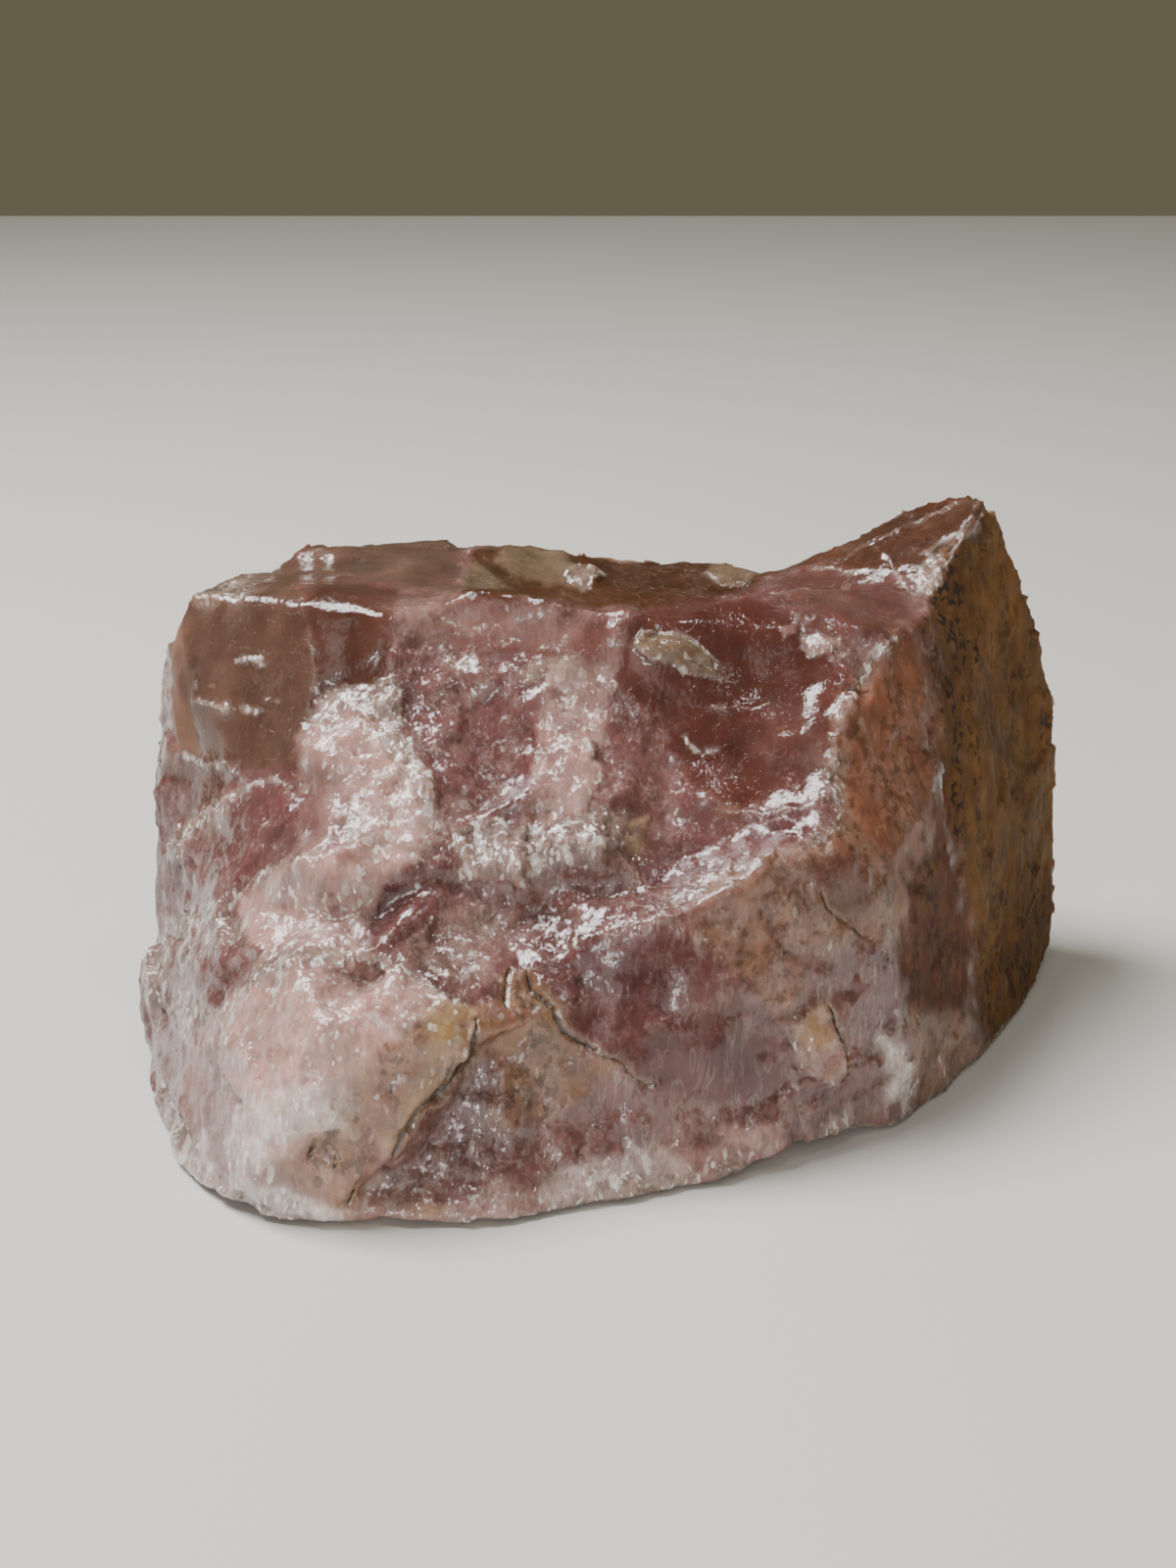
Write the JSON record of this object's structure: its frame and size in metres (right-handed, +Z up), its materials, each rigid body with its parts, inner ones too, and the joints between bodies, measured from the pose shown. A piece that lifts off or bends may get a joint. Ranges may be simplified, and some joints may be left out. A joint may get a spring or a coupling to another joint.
{
  "type": "rose quartz chunk",
  "caption": "Rough broken chunk of rose quartz with a raised corner, a trough in its top, stepped shell-shaped breaks down its front, a weathered side and a flat resting face.",
  "frame": {"origin": "on the resting face, at the middle of the stone's width and depth", "axes": "+X to the right along the broken front, +Y from the front to the back, +Z up"},
  "size_m": [0.185, 0.129, 0.102],
  "materials": {
    "rose_quartz": "rough broken milky pink quartz, glossy on its clean breaks"
  },
  "bodies": {
    "root": {"rose_quartz_chunk": "rose_quartz"}
  },
  "joints": []
}
